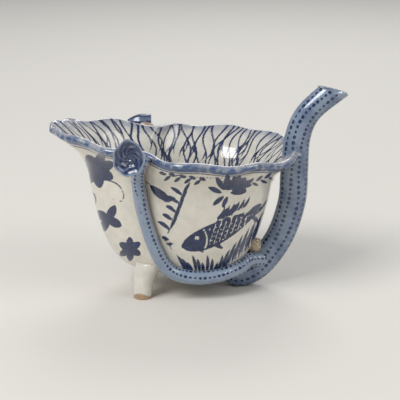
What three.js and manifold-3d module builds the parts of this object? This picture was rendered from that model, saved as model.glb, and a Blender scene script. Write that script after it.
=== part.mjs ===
// Straw cup: a lotus-leaf drinking cup in blue and white porcelain.
// A hollow stem rises beside the bowl, opens into its floor and serves as straw and handle.
// Two solid branches leave the stem, clasp the bowl and end in a small leaf and a seed pod.
// Millimetres, +Z up, +X toward the straw, -Y toward the front.

import * as THREE from 'three';
import { mergeVertices } from 'three/addons/utils/BufferGeometryUtils.js';
import Module from 'manifold-3d';

const wasm = await Module();
wasm.setup();

// Bowl
const bowlUnderside = 8.5; // lowest point of the bowl above the table
const wallRise = 36.5; // from the underside to where the lip begins to flare
const lipRise = 13.9; // from there to the lower edge of the lip
const wallReachTip = 37.6; // from the bowl's axis toward the leaf tip
const wallReachStraw = 37.4; // from the axis toward the straw
const wallHalfWidth = 26.8; // from the axis toward each side
const lipFlareTip = 12.4;
const lipFlareStraw = 9.6;
const lipFlareSide = 6.3;
const tipLift = 8; // how far the leaf tip stands above the sides
const tipTwist = 1.5; // the two folds at the tip stand this far above and below it
const strawDroop = 2.2; // how far the lip sinks beside the straw
const cornerLift = 1.5; // upturned corners on both sides of the straw
const wallThickness = 2.7;
const floorThickness = 3.8;
const lipRound = 1; // how far the lip's edge bulges
const rippleDepth = 0.6;
const rippleCount = 12;
const grooveDepth = 2.4; // furrow of the wall under each branch
const notchDepth = 2.6; // the furrow is this much deeper at the lip
const grooveHalfAngle = 7; // degrees

// Straw
const strawHalfDepth = 5.8; // in the plane of the straw's bend
const strawHalfWidth = 4.8;
const neckHalfDepth = 4.9;
const mouthHalfDepth = 5.3;
const mouthHalfWidth = 4.2;
const strawWall = 2.4;
const mouthWall = 1.3;
const inletRadius = 2.5;
const strawNest = 3.2; // how far the straw's axis lies inside the lip's edge
const strawAboveRim = 24.2;
const mouthLean = 15.4; // how far the mouth leans out past the rise
const mouthTilt = 14; // degrees from level
const heelFlat = 0.5; // how much is ground off under the bend

// Branches, leaf, pod, feet and wad
const branchRadius = 2.85;
const branchEmbed = 0.5; // how far a branch is pressed into the wall
const leafHalfWidth = 6.1;
const leafHalfHeight = 6.8;
const leafDish = 3;
const leafThickness = 2;
const podLength = 10.5;
const podRadius = 3.2;
const footSoleRadius = 3.7;
const footHalfLength = 7.6; // where the foot runs out on the bowl
const footHalfWidth = 6.8;
const footReach = 15.3; // from the bowl's axis toward the leaf tip
const footSpread = 14.8; // from the middle plane
const wadRadius = 4;
const seatGap = 0.3;

const axisX = -8; // the bowl's upright axis
const wallFullness = 0.18;
const flareCurve = 2.1;
const eggLow = 0.12; // how egg-shaped the bowl's plan is below
const eggHigh = 0.24; // and at the lip
const degrees = Math.PI / 180;

// The branch's way over the wall: angle from the straw in degrees, and level on the wall.
// Level 0 is the middle of the underside, 1 the start of the flare and 2 the lip.
const branchRoute = [
  [15, 0.72], [32, 0.69], [52, 0.65], [73, 0.64], [93, 0.68], [103, 0.77],
  [109, 0.87], [114, 0.96], [115.5, 1.15], [114.5, 1.45], [111.5, 1.75], [107.5, 2],
];

// Colours
const porcelain = { color: 0xdfe3e4, roughness: 0.15, metalness: 0 };
const cobaltWash = { color: 0x7c8fb0, roughness: 0.15, metalness: 0 };
const darkCobalt = { color: 0x2b3c66, roughness: 0.15, metalness: 0 };
const bareClay = { color: 0xc9b594, roughness: 0.8, metalness: 0 };

const clamp = (value) => Math.min(Math.max(value, 0), 1);
const bell = (distance, width) => Math.exp(-0.5 * (distance / width) ** 2);

// Value at t between keys of the form [t, value], with level ends at each key.
function keyed(t, keys) {
  const next = keys.findIndex((key) => key[0] >= t);
  if (next < 0) return keys[keys.length - 1][1];
  if (next === 0) return keys[0][1];
  const [startT, start] = keys[next - 1];
  const [endT, end] = keys[next];
  return start + (end - start) * THREE.MathUtils.smoothstep(t, startT, endT);
}

// Angle in degrees at which the branch climbs the wall at this level.
function climbAngle(level) {
  const climb = branchRoute.slice(4);
  const next = climb.findIndex((stop) => stop[1] >= level);
  if (next <= 0) return next === 0 ? climb[0][0] : climb[climb.length - 1][0];
  const [startAngle, startLevel] = climb[next - 1];
  const [endAngle, endLevel] = climb[next];
  return THREE.MathUtils.mapLinear(level, startLevel, endLevel, startAngle, endAngle);
}

// Point of the bowl's outer face at an angle from the straw and a level.
function bowlPoint(angle, level) {
  const c = Math.cos(angle);
  const above = Math.max(level - 1, 0);
  const height = level < 1 ? wallRise * level ** (1 / wallFullness) : wallRise + lipRise * above;
  const fullness = (height / wallRise) ** wallFullness;
  const flare = above ** flareCurve;
  const towardStraw = (1 + c) / 2;
  const wallReach = THREE.MathUtils.lerp(wallReachTip, wallReachStraw, towardStraw);
  const lipFlare = THREE.MathUtils.lerp(lipFlareTip, lipFlareStraw, towardStraw);
  const egg = 1 + THREE.MathUtils.lerp(eggLow, eggHigh, level / 2) * c;

  const furrow = grooveDepth * clamp((level - 0.62) / 0.38) ** 0.8 + notchDepth * flare;
  const turn = Math.abs(THREE.MathUtils.euclideanModulo(angle / degrees + 180, 360) - 180);
  const ripple = rippleDepth * Math.cos(rippleCount * angle) * flare;
  const x = (wallReach * fullness + lipFlare * flare + ripple) * c;
  const y = (wallHalfWidth * fullness + lipFlareSide * flare + ripple) * egg * Math.sin(angle);
  const drawnIn = 1 - furrow * bell(turn - climbAngle(level), grooveHalfAngle) / Math.max(Math.hypot(x, y), 1);

  const rise = clamp(height / (wallRise + lipRise)) ** 2.2;
  const lift = tipLift * Math.max((0.1 - c) / 1.1, 0) ** 1.1 - strawDroop * Math.max(c, 0) ** 2;
  const fromTip = (THREE.MathUtils.euclideanModulo(angle / degrees, 360) - 180) / 6;
  const twist = -tipTwist * fromTip * Math.exp(0.5 - 0.5 * fromTip ** 2);
  const corners = cornerLift * bell(turn - 14, 5);
  const edge = (twist + corners + rippleDepth * Math.sin(rippleCount * angle)) * flare;
  return new THREE.Vector3(axisX + x * drawnIn, y * drawnIn, bowlUnderside + height + lift * rise + edge);
}

// Outward normal and upward tangent of the bowl's outer face.
function bowlFrame(angle, level) {
  const step = 0.004;
  const around = bowlPoint(angle + step, level).sub(bowlPoint(angle - step, level));
  const upward = bowlPoint(angle, level).sub(bowlPoint(angle, level - step)).normalize();
  return { normal: around.cross(upward).normalize(), upward };
}

function offBowl(angle, level, distance) {
  return bowlPoint(angle, level).addScaledVector(bowlFrame(angle, level).normal, distance);
}

// Closed body through rows of points. A row of one point is a pole; the first and last rows are poles.
function loft(rows) {
  const positions = [];
  const starts = [];
  for (const row of rows) {
    starts.push(positions.length / 3);
    for (const point of row) positions.push(point.x, point.y, point.z);
  }
  const faces = [];
  for (let r = 0; r + 1 < rows.length; r++) {
    const count = Math.max(rows[r].length, rows[r + 1].length);
    const at = (row, i) => starts[row] + (rows[row].length === 1 ? 0 : i % count);
    for (let i = 0; i < count; i++) {
      if (rows[r].length > 1) faces.push([at(r, i), at(r, i + 1), at(r + 1, i)]);
      if (rows[r + 1].length > 1) faces.push([at(r, i + 1), at(r + 1, i + 1), at(r + 1, i)]);
    }
  }
  return toSolid(positions, faces);
}

// Solid from points and faces, turned so that its faces point out.
function toSolid(positions, faces) {
  const corner = (i) => new THREE.Vector3().fromArray(positions, 3 * i);
  const volume = faces.reduce((sum, [a, b, c]) => sum + corner(a).dot(corner(b).cross(corner(c))), 0);
  const turned = volume < 0 ? faces.map(([a, b, c]) => [a, c, b]) : faces;
  return new wasm.Manifold(new wasm.Mesh({
    numProp: 3,
    vertProperties: new Float32Array(positions),
    triVerts: new Uint32Array(turned.flat()),
  }));
}

function solidOf(geometry) {
  geometry.deleteAttribute('normal');
  geometry.deleteAttribute('uv');
  const merged = mergeVertices(geometry);
  return new wasm.Manifold(new wasm.Mesh({
    numProp: 3,
    vertProperties: new Float32Array(merged.attributes.position.array),
    triVerts: new Uint32Array(merged.index.array),
  }));
}

// Tube along a curve; section(t) gives its half depth and half width.
function sweep(curve, steps, sides, section) {
  const frames = curve.computeFrenetFrames(steps, false);
  const rows = [[curve.getPointAt(0)]];
  for (let i = 0; i <= steps; i++) {
    const centre = curve.getPointAt(i / steps);
    const [depth, width] = section(i / steps);
    rows.push(Array.from({ length: sides }, (_, k) => {
      const turn = 2 * Math.PI * (k + 0.5) / sides;
      return centre.clone()
        .addScaledVector(frames.binormals[i], depth * Math.cos(turn))
        .addScaledVector(frames.normals[i], width * Math.sin(turn));
    }));
  }
  rows.push([curve.getPointAt(1)]);
  return loft(rows);
}

// Large box whose under or upper face is the cutting plane through a point.
function halfSpace(point, tilt, above) {
  const size = 300;
  const box = new THREE.BoxGeometry(size, size, size);
  box.translate(0, 0, above ? size / 2 : -size / 2);
  box.rotateY(tilt * degrees);
  box.translate(point.x, point.y, point.z);
  return solidOf(box);
}

// Bowl
const bowlColumns = 64;

function bowlRow(level, distance) {
  return Array.from({ length: bowlColumns }, (_, i) => offBowl(2 * Math.PI * i / bowlColumns, level, distance));
}

function lipRow(turn, grow) {
  return Array.from({ length: bowlColumns }, (_, i) => {
    const angle = 2 * Math.PI * i / bowlColumns;
    const { normal, upward } = bowlFrame(angle, 2);
    return bowlPoint(angle, 2)
      .addScaledVector(normal, (wallThickness / 2 + grow) * Math.cos(turn) - wallThickness / 2)
      .addScaledVector(upward, (lipRound + grow) * Math.sin(turn));
  });
}

// Levels of the rows, closer together where the profile turns.
function levelsOf(wallRows, lipRows) {
  const wall = Array.from({ length: wallRows }, (_, k) => ((k + 1) / wallRows) ** 0.6);
  const lip = Array.from({ length: lipRows }, (_, k) => 1 + ((k + 1) / lipRows) ** 0.8);
  return [...wall, ...lip];
}

function outerRows(grow) {
  const pole = bowlPoint(0, 0);
  pole.z -= grow;
  return [
    [pole],
    ...levelsOf(10, 7).map((level) => bowlRow(level, grow)),
    ...[45, 90, 135].map((turn) => lipRow(turn * degrees, grow)),
  ];
}

function innerRows() {
  const thickness = (level) => THREE.MathUtils.lerp(floorThickness, wallThickness, clamp(level / 0.8));
  const pole = bowlPoint(0, 0);
  pole.z += floorThickness;
  return [...levelsOf(8, 5).reverse().map((level) => bowlRow(level, -thickness(level))), [pole]];
}

// The bowl grown by a clearance and filled to its lip, to cut what is luted to it.
function bowlEnvelope(grow) {
  const top = new THREE.Vector3(axisX, 0, bowlUnderside + wallRise + lipRise);
  return loft([...outerRows(grow), lipRow(Math.PI, grow), [top]]);
}

// Straw
const rimHeight = bowlUnderside + wallRise + lipRise;
const riseX = bowlPoint(0, 2).x - strawNest;
const mouth = new THREE.Vector3(riseX + mouthLean, 0, rimHeight + strawAboveRim);
const heelHeight = strawHalfDepth - heelFlat;
const strawCurve = new THREE.CatmullRomCurve3([
  new THREE.Vector3(mouth.x + 5.5, 0, mouth.z + 4.2),
  mouth,
  new THREE.Vector3(riseX + 0.34 * mouthLean, 0, rimHeight + 0.61 * strawAboveRim),
  new THREE.Vector3(riseX + 0.07 * mouthLean, 0, rimHeight + 0.2 * strawAboveRim),
  new THREE.Vector3(riseX, 0, 0.85 * rimHeight),
  new THREE.Vector3(riseX - 0.8, 0, 0.62 * rimHeight),
  new THREE.Vector3(riseX - 5.4, 0, 0.37 * rimHeight),
  new THREE.Vector3(riseX - 13.6, 0, 0.165 * rimHeight),
  new THREE.Vector3(riseX - 21.5, 0, heelHeight),
  new THREE.Vector3(riseX - 29.5, 0, heelHeight + 1),
  new THREE.Vector3(axisX + 9.5, 0, bowlUnderside + 1.5),
  new THREE.Vector3(axisX + 4.5, 0, bowlUnderside + floorThickness + 3.5),
]);
const mouthShare = 0.045; // share of the curve that lies past the mouth

function strawSection(t, inset, grow) {
  const depth = keyed(t, [[mouthShare, mouthHalfDepth], [0.14, neckHalfDepth], [0.42, strawHalfDepth]]);
  const width = keyed(t, [[mouthShare, mouthHalfWidth], [0.42, strawHalfWidth]]);
  const wall = keyed(t, [[mouthShare, mouthWall], [0.3, strawWall]]);
  const rootStart = 0.86;
  const taper = THREE.MathUtils.smoothstep(t, rootStart, 0.97);
  if (!inset) return [depth + grow, width + grow];
  return [
    THREE.MathUtils.lerp(depth - wall, inletRadius, taper),
    THREE.MathUtils.lerp(width - wall, inletRadius, taper),
  ];
}

const strawBody = (grow) => sweep(strawCurve, 46, 18, (t) => strawSection(t, false, grow));
const strawBore = sweep(strawCurve, 46, 12, (t) => strawSection(t, true, 0));
const nestPlane = new THREE.Vector3(0, 0, rimHeight / 2);
const bowlCut = bowlEnvelope(seatGap);

function makeBowl() {
  const shell = loft([...outerRows(0), ...innerRows()]);
  const nest = strawBody(seatGap).subtract(halfSpace(nestPlane, 0, false));
  return shell.subtract(nest).subtract(strawBore);
}

function makeStraw() {
  const root = bowlCut.subtract(halfSpace(nestPlane, 0, true));
  const floor = new THREE.Vector3();
  return strawBody(0)
    .subtract(strawBore)
    .subtract(root)
    .subtract(halfSpace(mouth, mouthTilt, true))
    .subtract(halfSpace(floor, 0, false));
}

// Branches. side is -1 at the front and 1 at the rear.
function branchCurve(side, ending) {
  const start = strawCurve.getPointAt(0.72);
  start.y += side * 0.4 * strawHalfWidth;
  const climb = branchRoute.map(([angle, level]) => (
    offBowl(side * angle * degrees, level, branchRadius - branchEmbed)));
  return new THREE.CatmullRomCurve3([start, ...climb, ...ending]);
}

function branchBody(curve, grow) {
  const section = (t) => {
    const radius = keyed(t, [[0, branchRadius * 1.12], [0.2, branchRadius], [0.85, branchRadius], [1, branchRadius * 0.8]]);
    return [radius + grow, radius + grow];
  };
  return sweep(curve, 34, 12, section);
}

// Front leaf: a cupped leaf on the end of the front branch, with its point up.
const frontRim = offBowl(-branchRoute.at(-1)[0] * degrees, 2, branchRadius - branchEmbed);
const leafCentre = frontRim.clone().add(new THREE.Vector3(-5.2, -6.6, 3));

function leafRow(share, offset, grow) {
  return Array.from({ length: 28 }, (_, i) => {
    const turn = 2 * Math.PI * i / 28;
    const point = 1 + 0.16 * bell(turn - Math.PI / 2, 0.35);
    const scallop = 1 + 0.03 * Math.cos(7 * turn);
    const x = (leafHalfWidth * share * scallop + grow) * Math.cos(turn);
    const z = (leafHalfHeight * share * point * scallop + grow) * Math.sin(turn);
    const y = -leafDish * share ** 2 + offset;
    return new THREE.Vector3(leafCentre.x + x, leafCentre.y + y, leafCentre.z + z);
  });
}

function leafBody(grow) {
  const face = leafCentre.clone().add(new THREE.Vector3(0, -grow, 0));
  const back = leafCentre.clone().add(new THREE.Vector3(0, leafThickness + grow, 0));
  return loft([
    [face],
    ...[0.3, 0.55, 0.75, 0.9].map((share) => leafRow(share, -grow, grow)),
    leafRow(1, 0.25 * leafThickness, grow),
    ...[0.9, 0.75, 0.5, 0.25].map((share) => leafRow(share, leafThickness * (1.15 - 0.45 * share) + grow, grow)),
    [back],
  ]);
}

// Rear pod: a seed pod lying along the lip, its scalloped open end toward the straw.
const rearRim = offBowl(branchRoute.at(-1)[0] * degrees, 2, branchRadius - branchEmbed);
const podCentre = rearRim.clone().add(new THREE.Vector3(-4.6, 3.6, 3.2));

function podBody(grow) {
  const start = new THREE.Vector3(podCentre.x - podLength / 2 - grow, podCentre.y, podCentre.z - 0.5);
  const end = new THREE.Vector3(podCentre.x + podLength / 2 - 0.7 + grow, podCentre.y, podCentre.z);
  const rows = [0.03, 0.12, 0.28, 0.5, 0.72, 0.88, 0.97].map((share) => {
    const swell = Math.sin(Math.PI * Math.min(0.08 + 0.72 * share, 0.62)) ** 0.9;
    const shoulder = share > 0.9 ? 0.84 : 1;
    return Array.from({ length: 24 }, (_, i) => {
      const turn = 2 * Math.PI * i / 24;
      const scallop = 1 + 0.08 * share * Math.cos(6 * turn);
      const radius = podRadius * swell * shoulder * scallop + grow;
      return new THREE.Vector3(
        podCentre.x + podLength * (share - 0.5) + (share > 0.9 ? grow : 0),
        podCentre.y + radius * Math.cos(turn),
        podCentre.z - 0.5 * (1 - share) + radius * Math.sin(turn),
      );
    });
  });
  return loft([[start], ...rows, [end]]);
}

// Feet: short tapered stumps under the bowl, ground flat at the sole.
function footBody(side) {
  const centre = new THREE.Vector3(axisX - footReach, side * footSpread, 0);
  const height = bowlUnderside + floorThickness + 6;
  const rows = [0, 0.25, 0.5, 0.72, 0.88, 1].map((share) => {
    const spread = share ** 2.2;
    return Array.from({ length: 24 }, (_, i) => {
      const turn = 2 * Math.PI * i / 24;
      const long = THREE.MathUtils.lerp(footSoleRadius, footHalfLength, spread);
      const wide = THREE.MathUtils.lerp(footSoleRadius, footHalfWidth, spread);
      return new THREE.Vector3(centre.x + long * Math.cos(turn), centre.y + wide * Math.sin(turn), height * share);
    });
  });
  return loft([[centre], ...rows, [new THREE.Vector3(centre.x, centre.y, height)]]);
}

// Luting wad in the crotch between the straw and the bowl.
function wadBody() {
  const crotch = bowlPoint(0, 0.78);
  const ball = new THREE.SphereGeometry(1, 20, 12);
  ball.rotateX(Math.PI / 2);
  ball.scale(wadRadius, wadRadius, 0.85 * wadRadius);
  ball.translate(crotch.x + 0.4 * wadRadius, 0, crotch.z - 0.1 * wadRadius);
  return solidOf(ball);
}

const frontEnd = [leafCentre.clone().add(new THREE.Vector3(1.2, leafThickness - 0.5, -1.5))];
const rearEnd = [podCentre.clone().add(new THREE.Vector3(0.2, -0.6, -0.8))];
const frontCurve = branchCurve(-1, frontEnd);
const rearCurve = branchCurve(1, rearEnd);
const strawCut = strawBody(seatGap);
const bothBranches = branchBody(frontCurve, seatGap).add(branchBody(rearCurve, seatGap));

const group = new THREE.Group();

function addPiece(name, solid, finish) {
  const mesh = solid.getMesh();
  const geometry = new THREE.BufferGeometry();
  geometry.setAttribute('position', new THREE.BufferAttribute(new Float32Array(mesh.vertProperties), 3));
  geometry.setIndex(new THREE.BufferAttribute(new Uint32Array(mesh.triVerts), 1));
  geometry.computeVertexNormals();
  const piece = new THREE.Mesh(geometry, new THREE.MeshStandardMaterial(finish));
  piece.name = name;
  group.add(piece);
}

addPiece('leaf_bowl', makeBowl(), porcelain);
addPiece('straw_tube', makeStraw(), cobaltWash);
addPiece('front_branch', branchBody(frontCurve, 0).subtract(bowlCut).subtract(strawCut).subtract(leafBody(seatGap)), cobaltWash);
addPiece('rear_branch', branchBody(rearCurve, 0).subtract(bowlCut).subtract(strawCut).subtract(podBody(seatGap)), cobaltWash);
addPiece('front_leaf', leafBody(0).subtract(bowlCut), darkCobalt);
addPiece('rear_pod', podBody(0).subtract(bowlCut), darkCobalt);
addPiece('front_foot', footBody(-1).subtract(bowlCut).subtract(bothBranches), porcelain);
addPiece('rear_foot', footBody(1).subtract(bowlCut).subtract(bothBranches), porcelain);
addPiece('luting_wad', wadBody().subtract(bowlCut).subtract(strawCut).subtract(bothBranches), bareClay);

// The origin is the middle of the cup's outline on the table.
const box = new THREE.Box3().setFromObject(group);
group.position.set(-(box.min.x + box.max.x) / 2, -(box.min.y + box.max.y) / 2, -box.min.z);

export default group;
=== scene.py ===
import math
import bmesh
import bpy
import numpy as np
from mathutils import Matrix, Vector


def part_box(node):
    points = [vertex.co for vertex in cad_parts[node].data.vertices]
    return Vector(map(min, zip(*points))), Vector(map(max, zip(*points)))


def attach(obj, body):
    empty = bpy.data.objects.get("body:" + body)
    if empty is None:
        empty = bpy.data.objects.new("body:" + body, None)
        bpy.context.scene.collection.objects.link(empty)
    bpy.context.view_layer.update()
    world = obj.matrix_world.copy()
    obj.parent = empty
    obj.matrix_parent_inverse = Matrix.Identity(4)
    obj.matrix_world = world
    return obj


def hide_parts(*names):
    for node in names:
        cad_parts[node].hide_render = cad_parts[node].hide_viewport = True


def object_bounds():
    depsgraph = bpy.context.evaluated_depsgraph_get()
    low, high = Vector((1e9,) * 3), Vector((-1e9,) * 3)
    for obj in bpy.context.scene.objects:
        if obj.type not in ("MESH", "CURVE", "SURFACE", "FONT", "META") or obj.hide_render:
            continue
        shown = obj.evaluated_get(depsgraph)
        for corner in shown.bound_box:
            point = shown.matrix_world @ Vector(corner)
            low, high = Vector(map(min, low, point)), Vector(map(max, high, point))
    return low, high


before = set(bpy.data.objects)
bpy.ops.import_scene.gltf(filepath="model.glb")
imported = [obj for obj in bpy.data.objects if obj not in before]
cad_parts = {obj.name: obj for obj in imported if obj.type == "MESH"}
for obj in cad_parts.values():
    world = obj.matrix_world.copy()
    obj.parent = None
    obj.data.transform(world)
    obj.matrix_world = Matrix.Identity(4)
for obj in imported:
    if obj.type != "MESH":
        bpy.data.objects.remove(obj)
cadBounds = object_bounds()
print("frame loaded")

mm = 0.001
bowl = {
    "axisX": -8.0, "underside": 8.5, "wallRise": 36.5, "lipRise": 13.9,
    "reachTip": 37.6, "reachStraw": 37.4, "halfWidth": 26.8,
    "flareTip": 12.4, "flareStraw": 9.6, "flareSide": 6.3,
    "tipLift": 8.0, "tipTwist": 1.5, "strawDroop": 2.2, "cornerLift": 1.5,
    "wall": 2.7, "floor": 3.8, "lipRound": 1.0, "ripple": 0.6, "rippleCount": 12,
    "groove": 2.4, "notch": 2.6, "grooveHalfAngle": 7.0,
    "fullness": 0.18, "flareCurve": 2.1, "eggLow": 0.12, "eggHigh": 0.24,
    "inletX": -4.0, "inletDepth": 2.6,
    "columns": 440, "wallRows": 88, "lipRows": 56,
}
branch = {
    "radius": 2.85, "embed": 0.5,
    "angles": [15, 32, 52, 73, 93, 103, 109, 114, 115.5, 114.5, 111.5, 107.5],
    "levels": [0.72, 0.69, 0.65, 0.64, 0.68, 0.77, 0.87, 0.96, 1.15, 1.45, 1.75, 2.0],
    "swell": [1.12, 1, 1, 0.8], "swellAt": [0, 0.2, 0.85, 1], "sides": 64, "rings": 330,
    "start": [26.4, 1.9, 12.2],
    "dotRows": 7, "dotPitch": 1.9, "dotRadius": 0.52, "girth": 17.9,
}


# Eases from 0 to 1: three times the square less twice the cube.
def smooth(t):
    t = np.clip(t, 0, 1)
    return t * t * (3 - 2 * t)


# Bell curve: e to the power of minus half the square of distance over width.
def bell(distance, width):
    return np.exp(-0.5 * (distance / width) ** 2)


# A point of the bowl's outer face, in mm, from the angle from the straw and a level:
# the radius grows as a power of the height, and past level 1 the flare is added.
def bowlPoint(angle, level):
    angle, level = np.broadcast_arrays(np.asarray(angle, float), np.asarray(level, float))
    b = bowl
    c = np.cos(angle)
    above = np.maximum(level - 1, 0)
    height = np.where(level < 1, b["wallRise"] * np.minimum(level, 1) ** (1 / b["fullness"]),
                      b["wallRise"] + b["lipRise"] * above)
    fullness = (height / b["wallRise"]) ** b["fullness"]
    flare = above ** b["flareCurve"]
    toward = (1 + c) / 2
    reach = b["reachTip"] + (b["reachStraw"] - b["reachTip"]) * toward
    lip = b["flareTip"] + (b["flareStraw"] - b["flareTip"]) * toward
    egg = 1 + (b["eggLow"] + (b["eggHigh"] - b["eggLow"]) * level / 2) * c
    furrow = b["groove"] * np.clip((level - 0.62) / 0.38, 0, 1) ** 0.8 + b["notch"] * flare
    degreesRound = np.degrees(angle)
    turn = np.abs((degreesRound + 180) % 360 - 180)
    climb = np.interp(level, branch["levels"][4:], branch["angles"][4:])
    ripple = b["ripple"] * np.cos(b["rippleCount"] * angle) * flare
    x = (reach * fullness + lip * flare + ripple) * c
    y = (b["halfWidth"] * fullness + b["flareSide"] * flare + ripple) * egg * np.sin(angle)
    drawn = 1 - furrow * bell(turn - climb, b["grooveHalfAngle"]) / np.maximum(np.hypot(x, y), 1)
    rise = np.clip(height / (b["wallRise"] + b["lipRise"]), 0, 1) ** 2.2
    lift = b["tipLift"] * np.maximum((0.1 - c) / 1.1, 0) ** 1.1 - b["strawDroop"] * np.maximum(c, 0) ** 2
    fromTip = (degreesRound % 360 - 180) / 6
    twist = -b["tipTwist"] * fromTip * np.exp(0.5 - 0.5 * fromTip ** 2)
    wave = b["ripple"] * np.sin(b["rippleCount"] * angle)
    edge = (twist + b["cornerLift"] * bell(turn - 14, 5) + wave) * flare
    z = b["underside"] + height + lift * rise + edge
    return np.stack([b["axisX"] + x * drawn, y * drawn, z], -1)


# A vector over its own length.
def unit(v):
    return v / np.maximum(np.linalg.norm(v, axis=-1, keepdims=True), 1e-9)


# Outward normal and upward tangent, from small steps round and up the face.
def bowlFrame(angle, level):
    step = 0.004
    around = bowlPoint(angle + step, level) - bowlPoint(angle - step, level)
    upward = unit(bowlPoint(angle, level) - bowlPoint(angle, np.asarray(level) - step))
    return unit(np.cross(around, upward)), upward


# A point of the face moved along its normal.
def offBowl(angle, level, distance):
    normal = bowlFrame(angle, level)[0]
    return bowlPoint(angle, level) + normal * np.asarray(distance)[..., None]


bowlBox = np.array(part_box("leaf_bowl")) / mm
roundAngles = np.linspace(0, 2 * math.pi, 64, endpoint=False)
lipNormal, lipUp = bowlFrame(roundAngles, 2.0)
lipEdge = bowlPoint(roundAngles, 2.0) - lipNormal * bowl["wall"] / 2 + lipUp * bowl["lipRound"]
shift = np.array([
    (bowlBox[0][0] + bowlBox[1][0] - lipEdge[:, 0].min() - lipEdge[:, 0].max()) / 2,
    (bowlBox[0][1] + bowlBox[1][1] - lipEdge[:, 1].min() - lipEdge[:, 1].max()) / 2, 0])
print("shift in mm", shift)


# A grid of points (rows, columns) becomes a mesh, with one value per point for each
# named attribute. Four neighbours make a face, each end is closed by a fan to its pole,
# and the print counts the edges that aren't shared by exactly two faces.
def gridMesh(name, points, attributes, nodes, material, startPole, endPole):
    rows, columns = points.shape[:2]
    index = np.arange(rows * columns).reshape(rows, columns)
    row, nextRow = index[:-1], index[1:]
    quads = np.stack([row, np.roll(row, -1, 1), np.roll(nextRow, -1, 1), nextRow], -1).reshape(-1, 4)
    low, high = np.array(cadBounds) / mm - shift
    vertices = np.clip(points.reshape(-1, 3), low, high)
    faces = quads.tolist()
    values = {key: value.reshape(-1) for key, value in attributes.items()}
    for pole, ring, turned in ((startPole, index[0], True), (endPole, index[-1], False)):
        tip = len(vertices)
        vertices = np.vstack([vertices, pole])
        values = {key: np.append(value, value[ring[0]]) for key, value in values.items()}
        pairs = np.stack([ring, np.roll(ring, -1)], -1)
        faces += [[b, a, tip] if turned else [a, b, tip] for a, b in pairs.tolist()]
    mesh = bpy.data.meshes.new(name)
    mesh.from_pydata(((vertices + shift) * mm).tolist(), [], faces)
    for key, value in values.items():
        layer = mesh.attributes.new(key, "FLOAT", "POINT")
        layer.data.foreach_set("value", value.astype(np.float32))
    cleaned = bmesh.new()
    cleaned.from_mesh(mesh)
    bmesh.ops.remove_doubles(cleaned, verts=cleaned.verts, dist=0.002 * mm)
    if cleaned.calc_volume(signed=True) < 0:
        bmesh.ops.reverse_faces(cleaned, faces=cleaned.faces)
    print(name, "edges not shared by two faces", sum(not edge.is_manifold for edge in cleaned.edges))
    cleaned.to_mesh(mesh)
    cleaned.free()
    mesh.polygons.foreach_set("use_smooth", np.ones(len(mesh.polygons), bool))
    mesh.update()
    piece = bpy.data.objects.new(name, mesh)
    bpy.context.collection.objects.link(piece)
    mesh.materials.append(material)
    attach(piece, "root")
    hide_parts(*nodes)
    print(name, len(mesh.polygons), "faces")


# Materials: a ground, a pale wash and dark ink, mixed by the piece's own attributes.
def glazedMaterial(name, ground, washColour, inkColour, softness, clay=None):
    material = bpy.data.materials.new(name)
    material.use_nodes = True
    nodes, links = material.node_tree.nodes, material.node_tree.links
    shader = nodes["Principled BSDF"]
    glossRoughness = 0.16
    shader.inputs["Roughness"].default_value = glossRoughness
    shader.inputs["Coat Weight"].default_value = 0.6
    shader.inputs["Coat Roughness"].default_value = 0.06
    coords = nodes.new("ShaderNodeTexCoord")

    def noise(scale, detail):
        node = nodes.new("ShaderNodeTexNoise")
        node.inputs["Scale"].default_value = scale
        node.inputs["Detail"].default_value = detail
        links.new(coords.outputs["Object"], node.inputs["Vector"])
        return node.outputs["Fac"]

    def mapped(value, low, high, newLow, newHigh):
        node = nodes.new("ShaderNodeMapRange")
        node.interpolation_type = "SMOOTHSTEP"
        links.new(value, node.inputs["Value"])
        for key, number in (("From Min", low), ("From Max", high), ("To Min", newLow), ("To Max", newHigh)):
            node.inputs[key].default_value = number
        return node.outputs["Result"]

    def maths(kind, a, b):
        node = nodes.new("ShaderNodeMath")
        node.operation = kind
        for socket, value in zip(node.inputs, (a, b)):
            if isinstance(value, (int, float)):
                socket.default_value = value
            else:
                links.new(value, socket)
        return node.outputs[0]

    def mixed(factor, a, b):
        node = nodes.new("ShaderNodeMix")
        node.data_type = "RGBA"
        links.new(factor, node.inputs["Factor"])
        for socket, value in ((node.inputs[6], a), (node.inputs[7], b)):
            if isinstance(value, tuple):
                socket.default_value = (*value, 1)
            else:
                links.new(value, socket)
        return node.outputs[2]

    def attribute(key):
        node = nodes.new("ShaderNodeAttribute")
        node.attribute_name = key
        return node.outputs["Fac"]

    tone = mapped(noise(260, 4), 0.3, 0.7, 0, 1)
    cloudy = mixed(tone, ground, tuple(0.9 * v for v in ground))
    streaks = mapped(noise(420, 3), 0.25, 0.7, 0.55, 1)
    washed = mixed(maths("MULTIPLY", attribute("wash"), streaks), cloudy, washColour)
    wobble = maths("MULTIPLY", maths("SUBTRACT", noise(1500, 2), 0.5), 0.35)
    ink = mapped(maths("ADD", attribute("ink"), wobble), -softness, softness, 1, 0)
    thinInk = tuple(1.7 * v + 0.008 for v in inkColour)
    inkTone = mixed(mapped(noise(520, 4), 0.38, 0.68, 0, 1), inkColour, thinInk)
    colour = mixed(ink, washed, inkTone)
    if clay:
        bare = attribute("bare")
        colour = mixed(bare, colour, clay)
        links.new(maths("ADD", maths("MULTIPLY", bare, 0.6), glossRoughness), shader.inputs["Roughness"])
    links.new(colour, shader.inputs["Base Color"])
    bump = nodes.new("ShaderNodeBump")
    bump.inputs["Strength"].default_value = 0.12
    bump.inputs["Distance"].default_value = 0.0006
    links.new(noise(330, 3), bump.inputs["Height"])
    links.new(bump.outputs["Normal"], shader.inputs["Normal"])
    return material


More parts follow.
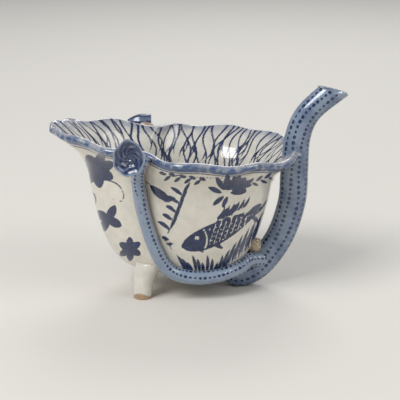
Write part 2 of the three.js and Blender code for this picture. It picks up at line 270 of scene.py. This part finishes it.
cream, wash, cobalt = (0.76, 0.72, 0.62), (0.05, 0.095, 0.21), (0.006, 0.016, 0.06)
paintedGlaze = glazedMaterial("paintedPorcelain", cream, wash, cobalt, 0.14)
stemGlaze = glazedMaterial("dottedStemGlaze", (0.30, 0.37, 0.46), (0.05, 0.095, 0.20),
                           (0.005, 0.014, 0.055), 0.14, (0.34, 0.19, 0.09))
darkGlaze = glazedMaterial("darkCobaltGlaze", (0.30, 0.38, 0.50), (0.025, 0.045, 0.12),
                           (0.01, 0.018, 0.06), 0.3)
footGlaze = glazedMaterial("footPorcelain", cream, wash, cobalt, 0.2, (0.38, 0.25, 0.145))
clayGlaze = glazedMaterial("bareClay", (0.58, 0.47, 0.32), (0.3, 0.2, 0.1),
                           (0.2, 0.12, 0.06), 0.3, (0.50, 0.40, 0.27))

# The photograph's view, used for the camera and to place the painted motifs: lengths
# in mm, and the focal length and the place of the aim point in pixels of its frame.
view = {
    "elevation": math.radians(16), "distance": 520.0, "aimZ": 40.0,
    "frame": 400, "focal": 1263.6, "u": 200.0, "v": 193.0,
}


# Perspective: across and up from the aim point, over the distance along the view.
def photoPixel(points):
    back = np.array([0, -math.cos(view["elevation"]), math.sin(view["elevation"])])
    up = np.array([0, math.sin(view["elevation"]), math.cos(view["elevation"])])
    away = points - np.array([0, 0, view["aimZ"]])
    depth = view["distance"] - away @ back
    return view["u"] + view["focal"] * away[..., 0] / depth, view["v"] - view["focal"] * (away @ up) / depth


# Signed distance to a brush stroke: a curve through start, bend and end, with a round
# brush whose half width swells in the middle (leaf, fish), or stays even (line).
def strokeDistance(u, v, stroke):
    (x0, y0), (x1, y1), (x2, y2), width, kind = stroke
    t = np.linspace(0, 1, 22)
    cx = (1 - t) ** 2 * x0 + 2 * t * (1 - t) * x1 + t ** 2 * x2
    cy = (1 - t) ** 2 * y0 + 2 * t * (1 - t) * y1 + t ** 2 * y2
    swell = {"leaf": np.sin(math.pi * t) ** 0.8, "line": np.ones(22),
             "fish": np.sin(math.pi * np.clip(t, 0.02, 0.97) ** 0.8) ** 0.7}[kind]
    best = np.full(u.shape, 99.0)
    for px, py, radius in zip(cx, cy, width * swell):
        best = np.minimum(best, np.hypot(u - px, v - py) - radius)
    return best


# A stroke of even width through three points.
def line(a, b, c, width=0.6):
    return (a, b, c, width, "line")


# A stroke from a to c that swells in the middle and bows to one side by bend.
def leaf(a, c, width, bend=0.0):
    mid = ((a[0] + c[0]) / 2 - bend * (c[1] - a[1]), (a[1] + c[1]) / 2 + bend * (c[0] - a[0]))
    return (a, mid, c, width, "leaf")


# The painting, in pixels of the photograph: carp, flower spray, water plants and vine.
carp = ((184, 246), (210, 240), (260, 209), 11.0, "fish")
carpHead, carpEye, gillCentre, gillRadius = (185, 245), (197, 238), (190, 240), 17
motifs = [
    carp, leaf((248, 214), (262, 203), 2.4), leaf((250, 215), (259, 222), 2.2),
    leaf((222, 217), (238, 203), 2.6, 0.2), leaf((216, 219), (228, 207), 2.2, 0.2),
    leaf((209, 241), (224, 249), 2.2), leaf((196, 246), (204, 253), 1.6),
    line((256, 214), (272, 198), (281, 172), 1.1), line((262, 214), (274, 205), (281, 188), 0.8),
    line((160, 173), (190, 178), (222, 178), 0.7),
    leaf((224, 190), (216, 177), 3.0), leaf((226, 190), (228, 174), 3.2), leaf((230, 190), (241, 175), 3.4),
    leaf((232, 191), (252, 180), 3.2), leaf((230, 193), (246, 192), 2.6), leaf((222, 193), (208, 187), 2.6),
    leaf((224, 196), (212, 206), 2.4), leaf((228, 196), (222, 208), 2.2),
    leaf((150, 185), (172, 201), 4.2, 0.1), line((140, 178), (150, 184), (162, 194), 0.6),
    line((168, 233), (180, 214), (186, 190), 0.8),
    line((160, 236), (166, 240), (172, 250), 0.6),
    leaf((162, 236), (170, 241), 1.5), leaf((166, 244), (174, 244), 1.4),
    line((118, 150), (100, 156), (88, 172), 0.8), line((105, 180), (122, 182), (124, 196), 0.8),
    line((124, 196), (122, 205), (113, 200), 0.8), line((90, 190), (98, 196), (95, 205), 0.7),
]
for k in range(9):
    spray = (166 + 5 * k, 175 + 0.7 * k)
    motifs.append(leaf(spray, (spray[0] - 7, spray[1] - 3 + 8 * (k % 2)), 1.7))
for k in range(7):
    turn = 2 * math.pi * k / 7
    motifs.append(leaf((237, 185), (237 + 15 * math.cos(turn), 185 + 9 * math.sin(turn)), 3.0))
for k in range(6):
    motifs.append(leaf((248 + 4 * k, 184 - 1.3 * k), (254 + 4.5 * k, 178 + 9 * (k % 2) - 1.3 * k), 1.5))
for k in range(6):
    motifs.append(leaf((216 + 5 * k, 222 - 2.5 * k), (225 + 5 * k, 206 - 2 * k), 1.3, 0.15))
for k in range(5):
    root = (170 + 3.2 * k, 230 - 8.5 * k)
    motifs.append(leaf(root, (root[0] - 13, root[1] - 9), 2.0, 0.1))
    motifs.append(leaf(root, (root[0] + 8, root[1] - 14), 1.7, -0.1))
for k in range(11):
    motifs.append(leaf((186 + 3.4 * k, 273), (176 + 5.2 * k, 254 + 4 * (k % 3)), 1.7, 0.1))
    blade = (222 + 3.2 * k, 270 - 2.2 * k)
    motifs.append(leaf(blade, (231 + 3.2 * k, 248 - 3.6 * k + 5 * (k % 2)), 1.5, -0.1))
for cx, cy, size, petals in ((97, 170, 18, 7), (108, 219, 15, 4), (130, 249, 12, 6), (112, 256, 7, 3)):
    for k in range(petals):
        turn = 2 * math.pi * k / petals + 0.5
        tip = (cx + size * math.cos(turn), cy + size * math.sin(turn))
        motifs.append(leaf((cx, cy), tip, 0.3 * size))
pixelsPerMm = view["focal"] / view["distance"]
reachOfBrush = 14  # pixels round a stroke's points where its distance is worked out


# Fish scales: the nearer of two crossing sets of sine waves along the carp.
def scaleLines(u, v):
    across = (u - carpHead[0]) * 0.43 + (v - carpHead[1]) * 0.9
    along = (u - carpHead[0]) * 0.9 - (v - carpHead[1]) * 0.43
    return np.minimum(np.abs(np.sin((along + across) * 0.5)), np.abs(np.sin((along - across) * 0.5)))


# Ink outside: the least distance to any stroke, with the same painting on both sides,
# and the carp's scales, gill and eye left pale.
def outerInk(points):
    u, v = photoPixel(np.stack([points[..., 0], -np.abs(points[..., 1]), points[..., 2]], -1))
    ink = np.full(u.shape, 99.0)
    for stroke in motifs:
        xs, ys = zip(*stroke[:3])
        near = ((u > min(xs) - reachOfBrush) & (u < max(xs) + reachOfBrush)
                & (v > min(ys) - reachOfBrush) & (v < max(ys) + reachOfBrush))
        ink[near] = np.minimum(ink[near], strokeDistance(u[near], v[near], stroke))
    body = strokeDistance(u, v, carp)
    fromEye = np.hypot(u - carpEye[0], v - carpEye[1])
    gill = np.abs(np.hypot(u - gillCentre[0], v - gillCentre[1]) - gillRadius)
    ink = np.where((body < -1.5) & (u > 209), np.maximum(ink, 0.55 - 2.4 * scaleLines(u, v)), ink)
    ink = np.where((body < -1.5) & (u > 196), np.maximum(ink, 0.8 - gill), ink)
    ink = np.minimum(np.maximum(ink, 2.3 - fromEye), fromEye - 0.9 + 99 * (fromEye > 2.3))
    return np.clip(ink, -20, 20) / pixelsPerMm


veins = {"seed": 7, "count": 104, "meanRadius": 34.0, "wander": 1.1, "halfWidth": 0.36}


# Interior veins: wavy lines from the lip that wander and fork, in mm round and down.
def innerInk(angle, depth):
    rng = np.random.default_rng(veins["seed"])
    ink = np.full(angle.shape, 9.0)
    around = angle * veins["meanRadius"]
    length = 2 * math.pi * veins["meanRadius"]
    for k in range(veins["count"]):
        start = (k + rng.uniform(-0.3, 0.3)) * length / veins["count"]
        reach = rng.uniform(10, 30)
        phase = rng.uniform(0, 6.28)
        lean = rng.uniform(-0.25, 0.25)
        for fork, begin in ((0.0, 0.0), (0.55, rng.uniform(4, 9)), (-0.55, rng.uniform(9, 16))):
            past = np.clip(depth - begin, 0, 99)
            wave = veins["wander"] * np.sin(depth * 0.45 + phase)
            centre = start + lean * depth + wave + fork * np.minimum(past, 6)
            off = np.abs((around - centre + length / 2) % length - length / 2)
            end = reach if fork == 0 else begin + 7
            width = veins["halfWidth"] * np.clip((end - depth) / 6, 0, 1)
            ink = np.minimum(ink, np.where((depth >= begin) & (depth < end), off - width, 9.0))
    return ink


# The bowl: rows of the outer face up to the lip, a half turn over the lip's edge, and rows
# of the same face set in by the wall, with a pit in the floor for the straw's inlet.
def makeBowl():
    angle = np.linspace(0, 2 * math.pi, bowl["columns"], endpoint=False)
    wall = (np.arange(2, bowl["wallRows"] + 1) / bowl["wallRows"]) ** 0.6
    lip = 1 + (np.arange(1, bowl["lipRows"] + 1) / bowl["lipRows"]) ** 0.9
    levels = np.concatenate([wall, lip])
    outAngle, outLevel = np.meshgrid(angle, levels)
    outer = offBowl(outAngle, outLevel, np.zeros_like(outAngle))
    normal, upward = bowlFrame(angle, 2.0)
    turns = np.radians([18, 40, 65, 90, 115, 140, 162])[:, None, None]
    half = bowl["wall"] / 2
    overLip = normal * (half * np.cos(turns) - half) + upward * bowl["lipRound"] * np.sin(turns)
    lipRows = bowlPoint(angle, 2.0) + overLip

    inAngle, inLevel = np.meshgrid(angle, levels[::-2])
    thick = bowl["floor"] + (bowl["wall"] - bowl["floor"]) * np.clip(inLevel / 0.8, 0, 1)
    inner = offBowl(inAngle, inLevel, -thick)
    inletOff = np.hypot(inner[..., 0] - bowl["inletX"], inner[..., 1])
    low = inner[..., 2] < 20
    pit = bowl["inletDepth"] * (1 - smooth((inletOff - 1.8) / 0.9))
    inner[..., 2] -= np.where(low, pit, 0)

    # A thin line of dark ink just under the lip's band: painted shadow under the lip's edge.
    rimShadowLine = np.abs(outLevel - 1.85) * 22 - 0.35
    outInk = np.minimum(outerInk(outer), np.where(outLevel > 1.7, rimShadowLine, 9.0))
    mottle = 0.8 + 0.5 * np.sin(outAngle * 37) * np.sin(outAngle * 23 + outLevel * 40)
    outInk = np.where(outLevel > 1.88, np.minimum(outInk, mottle), outInk)
    band = smooth((outLevel - 1.86) / 0.06)
    outWash = np.maximum(0.06, (1.25 + 0.3 * np.sin(outAngle * 9) * np.sin(outAngle * 5)) * band)
    mottleRow = 0.5 * np.sin(angle * 37) * np.sin(angle * 23 + 80) + 0.8
    lipInk = np.broadcast_to(mottleRow, (len(turns), len(angle)))
    lipWash = np.broadcast_to(np.linspace(1.3, 0.5, len(turns))[:, None], lipInk.shape)
    depth = (2 - inLevel) * 14 + np.maximum(1 - inLevel, 0) * 26
    # The pit's floor is inked dark: painted shade for the inside of the straw's inlet hole.
    inInk = np.minimum(innerInk(inAngle, depth), inletOff * 0.6 - 1.2 + np.where(low, 0, 9))
    inWash = 0.16 + 0.6 * bell(depth, 1.6)
    ink = np.concatenate([outInk, lipInk, inInk])
    washes = np.concatenate([outWash, lipWash, inWash])
    gridMesh("leafBowl", np.concatenate([outer, lipRows, inner]), {"ink": ink, "wash": washes},
             ["leaf_bowl"], paintedGlaze, outer[0].mean(0), inner[-1].mean(0))


# Catmull-Rom curve through given points, sampled evenly by length.
def smoothPath(knots, count):
    knots = np.asarray(knots, float)
    padded = np.vstack([2 * knots[0] - knots[1], knots, 2 * knots[-1] - knots[-2]])
    t = np.linspace(0, 1, 40, endpoint=False)[:, None]
    parts = []
    for a, b, c, d in zip(padded, padded[1:], padded[2:], padded[3:]):
        square, cube = 2 * a - 5 * b + 4 * c - d, 3 * b - a - 3 * c + d
        parts.append(0.5 * (2 * b + (c - a) * t + square * t ** 2 + cube * t ** 3))
    dense = np.vstack(parts + [knots[-1:]])
    length = np.append(0, np.cumsum(np.linalg.norm(np.diff(dense, axis=0), axis=1)))
    even = np.linspace(0, length[-1], count)
    return np.stack([np.interp(even, length, dense[:, k]) for k in range(3)], -1), length[-1]


# Side and in-plane vectors of a path: the side vector is carried along without twist.
def pathFrames(path):
    tangent = unit(np.gradient(path, axis=0))
    side = np.zeros_like(path)
    current = np.array([0.0, 1.0, 0.0])
    for i, t in enumerate(tangent):
        current = current - t * (current @ t)
        current /= np.linalg.norm(current)
        side[i] = current
    return side, np.cross(side, tangent)


# Dots in rows along a stem: distance to the nearest point of a staggered lattice.
def dotInk(turn, along, stem):
    rows, pitch = stem["dotRows"], stem["dotPitch"]
    row = turn / (2 * math.pi) * rows
    nearRow = np.round(row)
    offset = 0.5 * (nearRow % 2) + 0.22 * np.sin(nearRow * 5.1)
    step = along / pitch + offset
    nearStep = np.round(step)
    jitter = 0.16 * np.sin(nearStep * 12.9 + nearRow * 78.2)
    size = stem["dotRadius"] * (1 + 0.22 * np.sin(nearStep * 4.7 + nearRow * 3.3))
    across = (row - nearRow - 0.5 * jitter) * stem["girth"] / rows
    return np.hypot(across, (step - nearStep + jitter) * pitch * 0.85) - size


# Half depth, half width and wall are given at places on the path, which runs from 0 at
# its mouth end to 0.9 at its root.
straw = {
    "depthAt": [0.045, 0.09, 0.14, 0.28, 0.42], "depths": [5.3, 5.05, 4.9, 5.35, 5.8],
    "widthAt": [0.045, 0.42], "widths": [4.2, 4.8],
    "wallAt": [0.045, 0.3], "walls": [1.3, 2.4],
    "aboveRim": 24.2, "lean": 15.4, "tilt": 14.0, "nest": 3.2, "heelFlat": 0.5,
    "rootStart": 0.84, "rootTaper": 2.2, "rounding": 0.12, "sides": 108, "rings": 640,
    "dotRows": 10, "dotPitch": 2.1, "dotRadius": 0.62, "girth": 33.0,
}
rimHeight = bowl["underside"] + bowl["wallRise"] + bowl["lipRise"]
riseX = float(bowlPoint(0.0, 2.0)[0]) - straw["nest"]
heel = straw["depths"][-1] - straw["heelFlat"]
strawKnots = [
    (riseX + straw["lean"] + 5.5, 0, rimHeight + straw["aboveRim"] + 4.2),
    (riseX + straw["lean"], 0, rimHeight + straw["aboveRim"]),
    (riseX + 0.34 * straw["lean"], 0, rimHeight + 0.61 * straw["aboveRim"]),
    (riseX + 0.07 * straw["lean"], 0, rimHeight + 0.2 * straw["aboveRim"]),
    (riseX, 0, 0.85 * rimHeight), (riseX - 0.8, 0, 0.62 * rimHeight), (riseX - 5.4, 0, 0.37 * rimHeight),
    (riseX - 13.6, 0, 0.165 * rimHeight), (riseX - 21.5, 0, heel), (riseX - 29.5, 0, heel + 1),
]


# The straw: ellipses along the path, outside and then back down the bore, with both cut
# off at the mouth by sliding what stands past its plane back along the axis. Known fault:
# on that plane some thin faces fold, and leave edges that aren't shared by two faces.
def makeStraw():
    path, length = smoothPath(strawKnots, straw["rings"])
    side, inPlane = pathFrames(path)
    t = np.linspace(0, 1, len(path)) * 0.9
    depth = np.interp(t, straw["depthAt"], straw["depths"])
    width = np.interp(t, straw["widthAt"], straw["widths"])
    wall = np.interp(t, straw["wallAt"], straw["walls"])
    root = smooth((t - straw["rootStart"]) / 0.06)
    turn = np.linspace(0, 2 * math.pi, straw["sides"], endpoint=False)

    def rings(shrink):
        d = (depth - shrink)[:, None, None]
        w = (width - shrink)[:, None, None]
        return (path[:, None] + inPlane[:, None] * d * np.cos(turn)[None, :, None]
                + side[:, None] * w * np.sin(turn)[None, :, None])

    outer, bore = rings(straw["rootTaper"] * root), rings(wall)
    mouth = np.array(strawKnots[1])
    tilt = math.radians(straw["tilt"])
    planeNormal = np.array([math.sin(tilt), 0, math.cos(tilt)])
    mouthAxis = unit(path[0] - path[40])

    def trimmed(grid, drop):
        above = (grid - mouth) @ planeNormal + drop
        return grid - mouthAxis * (np.maximum(above, 0) / (mouthAxis @ planeNormal))[..., None]

    outer, bore = trimmed(outer, straw["rounding"]), trimmed(bore, straw["rounding"])
    outer[..., 2] = np.maximum(outer[..., 2], 0.0)
    first = int(0.035 * len(path))
    outer, bore = outer[first:], bore[first:int(0.7 * len(path)):4]
    middle = trimmed((outer[:1] + bore[:1]) / 2, 0.0)
    points = np.concatenate([outer[::-1], middle, bore])
    along = np.linspace(0, length, len(path))[first:, None]
    ink = dotInk(turn[None], along, straw)
    drift = 0.15 * np.sin(along * 0.35 + 2 * np.cos(turn[None]))
    washes = 0.5 + 0.4 * bell(turn[None] - math.pi, 0.9) + drift
    pale = smooth((along - 6) / 2.5)
    ink = np.where(pale < 0.3, 2.0, ink)
    plain = np.full((1 + len(bore), len(turn)), 2.0)
    inks = np.concatenate([ink[::-1], plain])
    allWash = np.concatenate([(washes * np.maximum(pale, 0.3))[::-1], plain * 0.1])
    bare = np.zeros(inks.shape)
    bare[:len(outer)] = smooth((0.35 - outer[::-1][..., 2]) / 0.3) * 0.9
    gridMesh("strawTube", points, {"ink": inks, "wash": allWash, "bare": bare},
             ["straw_tube"], stemGlaze, outer[-1].mean(0), bore[-1].mean(0))


# A branch: circles along a path that starts in the straw, follows the bowl's face at the
# branch's radius less its embed, and ends in the leaf or pod. side is -1 in front, 1 behind.
def makeBranch(side, name, node, ending):
    angles = side * np.radians(branch["angles"])
    off = np.full(len(angles), branch["radius"] - branch["embed"])
    climb = offBowl(angles, np.array(branch["levels"]), off)
    start = np.array(branch["start"]) * [1, side, 1]
    path, length = smoothPath(np.vstack([start, climb, ending]), branch["rings"])
    sideways, other = pathFrames(path)
    t = np.linspace(0, 1, len(path))
    radius = np.interp(t, branch["swellAt"], branch["swell"]) * branch["radius"]
    ridges = 0.25 * bell(t - 0.13, 0.04) * np.sin(t * 260)
    radius = (radius + ridges)[:, None, None]
    turn = np.linspace(0, 2 * math.pi, branch["sides"], endpoint=False)
    ring = path[:, None] + radius * (sideways[:, None] * np.cos(turn)[None, :, None]
                                     + other[:, None] * np.sin(turn)[None, :, None])
    along = (t * length)[:, None]
    ink = dotInk(turn[None], along, branch)
    outward = unit(path - np.array([bowl["axisX"], 0, 30])) * np.array([1, 1, 0.4])
    facing = np.einsum("ijk,ik->ij", unit(ring - path[:, None]), unit(outward))
    ink = np.where(facing > 0.93, 2.0, ink)
    bare = 0.85 * bell(facing + 0.25, 0.13) * smooth((ring[..., 2] - 20) / 8)
    washes = 0.3 + 0.35 * smooth(-facing)
    gridMesh(name, ring, {"ink": ink, "wash": washes, "bare": bare}, [node],
             stemGlaze, path[0], path[-1])


# fromRim is the way from the branch's end on the rim to the piece, and branchEnd the way
# from the piece's centre to where the branch ends inside it.
frontLeaf = {
    "fromRim": [-5.2, -6.6, 3.0], "branchEnd": [1.2, 1.2, -1.5], "halfWidth": 6.1, "halfHeight": 6.8,
    "dish": 3, "point": 0.16, "scallop": 0.03, "thickness": 2, "rib": 0.22, "sides": 120,
}
pod = {
    "fromRim": [-4.6, 3.6, 3.2], "branchEnd": [0.2, -0.6, -0.8], "length": 10.5, "radius": 3.15,
    "scallop": 0.08, "rows": 63, "sides": 96,
}
rimAngle = math.radians(branch["angles"][-1])
leafCentre = offBowl(-rimAngle, 2.0, branch["radius"] - branch["embed"]) + frontLeaf["fromRim"]
podCentre = offBowl(rimAngle, 2.0, branch["radius"] - branch["embed"]) + pod["fromRim"]


# Cupped leaf: a disc dished toward the front, with a raised edge, a point above and ribs.
def makeLeaf():
    turn = np.linspace(0, 2 * math.pi, frontLeaf["sides"], endpoint=False)[None]
    front = np.linspace(0.03, 1, 40)[:, None]
    back = np.linspace(0.97, 0.03, 24)[:, None]

    def dish(share, offset, ribs):
        point = 1 + frontLeaf["point"] * bell(turn - math.pi / 2, 0.35)
        scallop = 1 + frontLeaf["scallop"] * np.cos(7 * turn)
        x = frontLeaf["halfWidth"] * share * scallop * np.cos(turn)
        z = frontLeaf["halfHeight"] * share * point * scallop * np.sin(turn)
        ribbed = ribs * np.sin(share * 19) * bell(share - 0.3, 0.3)
        y = -frontLeaf["dish"] * share ** 2 + offset + ribbed + 0 * turn
        return np.stack([leafCentre[0] + x, leafCentre[1] + y, leafCentre[2] + z], -1)

    backOffset = frontLeaf["thickness"] * (1.15 - 0.45 * back)
    grid = np.concatenate([dish(front, 0.5 * front ** 8, frontLeaf["rib"]), dish(back, backOffset, 0)])
    share = np.concatenate([front, back])[:, 0][:, None] + 0 * turn
    ink = np.where(share > 0.9, 0.8, 0.9 * np.abs(np.sin(turn * 4 + share * 9)) - 0.72)
    washes = 1 - 0.75 * bell(share - 0.97, 0.05)
    gridMesh("frontLeaf", grid, {"ink": ink, "wash": washes}, ["front_leaf"],
             darkGlaze, grid[0].mean(0), grid[-1].mean(0))


# Seed pod: a swelling tube along X with scallops that grow toward its open end.
def makePod():
    rows = pod["rows"]
    share = np.concatenate([np.linspace(0.02, 0.97, rows - 3), [0.985, 0.985, 0.96]])[:, None]
    turn = np.linspace(0, 2 * math.pi, pod["sides"], endpoint=False)[None]
    swell = np.sin(math.pi * np.minimum(0.08 + 0.72 * share, 0.62)) ** 0.9
    shrink = np.ones(rows)
    shrink[-3:] = (0.93, 0.8, 0.55)
    radius = pod["radius"] * swell * (1 + pod["scallop"] * share * np.cos(6 * turn)) * shrink[:, None]
    seeds = 0.3 * np.cos(5 * turn) * (np.arange(rows)[:, None] == rows - 1)
    x = podCentre[0] + pod["length"] * (share - 0.5) + seeds
    grid = np.stack([x + 0 * turn, podCentre[1] + radius * np.cos(turn),
                     podCentre[2] - 0.5 * (1 - share) + radius * np.sin(turn)], -1)
    ink = 0.8 * np.abs(np.sin(turn * 3)) - 0.5 + 0 * share
    gridMesh("rearPod", grid, {"ink": ink, "wash": 0.8 + 0 * ink}, ["rear_pod"],
             darkGlaze, grid[0].mean(0), grid[-1].mean(0))


foot = {
    "reach": 15.3, "spread": 14.8, "height": 14.4, "sole": 3.65, "growLong": 2.6, "growWide": 1.9,
    "lean": 3.6, "rows": 60, "sides": 80,
}


# Foot: a stump whose radius grows with a power of the height, leaning in under the bowl.
def makeFoot(side, name, node):
    share = np.linspace(0, 1, foot["rows"])[:, None]
    turn = np.linspace(0, 2 * math.pi, foot["sides"], endpoint=False)[None]
    spread = share ** 2.2
    chip = 0.25 * np.sin(3 * turn + side) * bell(share, 0.12)
    leaning = foot["lean"] * share ** 2.5
    halfLong = foot["sole"] + foot["growLong"] * spread + 0.5 * chip
    halfWide = foot["sole"] + foot["growWide"] * spread + 0.5 * chip
    x = bowl["axisX"] - foot["reach"] + leaning + halfLong * np.cos(turn)
    y = side * (foot["spread"] - 0.9 * leaning) + halfWide * np.sin(turn)
    z = foot["height"] * share + 0 * turn
    bare = smooth((2.2 + 0.9 * np.sin(2 * turn + side) - z) / 0.8)
    ink = np.full(x.shape, 3.0)
    grid = np.stack([x, y, z], -1)
    gridMesh(name, grid, {"ink": ink, "wash": 0.1 + 0 * ink, "bare": bare}, [node],
             footGlaze, grid[0].mean(0), grid[-1].mean(0))


wad = {"fromWall": [1.6, 0, -0.4], "radius": 3.8, "flatness": 0.85, "rows": 50, "sides": 80}


# Luting wad: a flattened ball roughened by crossing waves.
def makeWad():
    lat = np.linspace(0.06, math.pi - 0.06, wad["rows"])[:, None]
    turn = np.linspace(0, 2 * math.pi, wad["sides"], endpoint=False)[None]
    lumps = 0.16 * np.sin(9 * turn + 5 * lat) * np.sin(11 * lat)
    rough = wad["radius"] + lumps + 0.1 * np.sin(23 * turn) * np.sin(17 * lat)
    x, y = rough * np.sin(lat) * np.cos(turn), rough * np.sin(lat) * np.sin(turn)
    z = wad["flatness"] * rough * np.cos(lat)
    grid = bowlPoint(0.0, 0.78) + wad["fromWall"] + np.stack([x, y, z], -1)[::-1]
    ink = np.full(rough.shape, 3.0)
    gridMesh("lutingWad", grid, {"ink": ink, "wash": 0.2 + 0 * ink, "bare": 1 + 0 * ink},
             ["luting_wad"], clayGlaze, grid[0].mean(0), grid[-1].mean(0))


makeBowl()
makeStraw()
makeBranch(-1, "frontBranch", "front_branch", leafCentre + frontLeaf["branchEnd"])
makeBranch(1, "rearBranch", "rear_branch", podCentre + pod["branchEnd"])
makeLeaf()
makePod()
makeFoot(-1, "frontFoot", "front_foot")
makeFoot(1, "rearFoot", "rear_foot")
makeWad()


def plainMaterial(name, colour):
    material = bpy.data.materials.new(name)
    material.use_nodes = True
    shader = material.node_tree.nodes["Principled BSDF"]
    shader.inputs["Base Color"].default_value = (*colour, 1)
    shader.inputs["Roughness"].default_value = 0.9
    return material


# Each lamp has its name, place in metres, width in metres and power in watts.
studio = {
    "floorColour": (0.70, 0.67, 0.62), "worldColour": (0.85, 0.88, 0.92), "worldStrength": 0.42,
    "lamps": [("window", (-0.5, -0.5, 0.75), 0.45, 6.4), ("fill", (0.7, -0.35, 0.6), 0.5, 2.2),
              ("behind", (0.1, 0.7, 0.7), 0.5, 3.0)],
    "aim": (0, 0, 0.04),
}


# The pale floor, the world's light and square lamps turned toward the aim point.
def makeStage():
    mesh = bpy.data.meshes.new("floor")
    mesh.from_pydata([(-6, -6, 0), (6, -6, 0), (6, 6, 0), (-6, 6, 0)], [], [(0, 1, 2, 3)])
    floor = bpy.data.objects.new("floor", mesh)
    bpy.context.collection.objects.link(floor)
    mesh.materials.append(plainMaterial("paleFloor", studio["floorColour"]))
    world = bpy.data.worlds.new("studio")
    bpy.context.scene.world = world
    world.use_nodes = True
    background = world.node_tree.nodes["Background"]
    background.inputs["Color"].default_value = (*studio["worldColour"], 1)
    background.inputs["Strength"].default_value = studio["worldStrength"]
    for name, place, size, power in studio["lamps"]:
        lamp = bpy.data.lights.new(name, "AREA")
        lamp.size = size
        lamp.energy = power
        light = bpy.data.objects.new(name, lamp)
        bpy.context.collection.objects.link(light)
        light.location = place
        aim = np.array(studio["aim"]) - np.array(place)
        tilt = math.acos(-aim[2] / np.linalg.norm(aim))
        light.rotation_euler = (tilt, 0, math.atan2(aim[1], aim[0]) - math.pi / 2)


# A level camera in front, raised by the elevation and looking down by as much.
def makeCamera():
    data = bpy.data.cameras.new("camera")
    camera = bpy.data.objects.new("camera", data)
    bpy.context.collection.objects.link(camera)
    data.sensor_width = 36
    data.lens = data.sensor_width * view["focal"] / view["frame"]
    data.shift_y = view["v"] / view["frame"] - 0.5
    distance, tilt = view["distance"], view["elevation"]
    camera.location = (shift[0] * mm, (shift[1] - distance * math.cos(tilt)) * mm,
                       (view["aimZ"] + distance * math.sin(tilt)) * mm)
    camera.rotation_euler = (math.pi / 2 - tilt, 0, 0)
    bpy.context.scene.camera = camera


makeStage()
makeCamera()
bpy.context.scene.view_settings.view_transform = "Standard"

print("scene done")
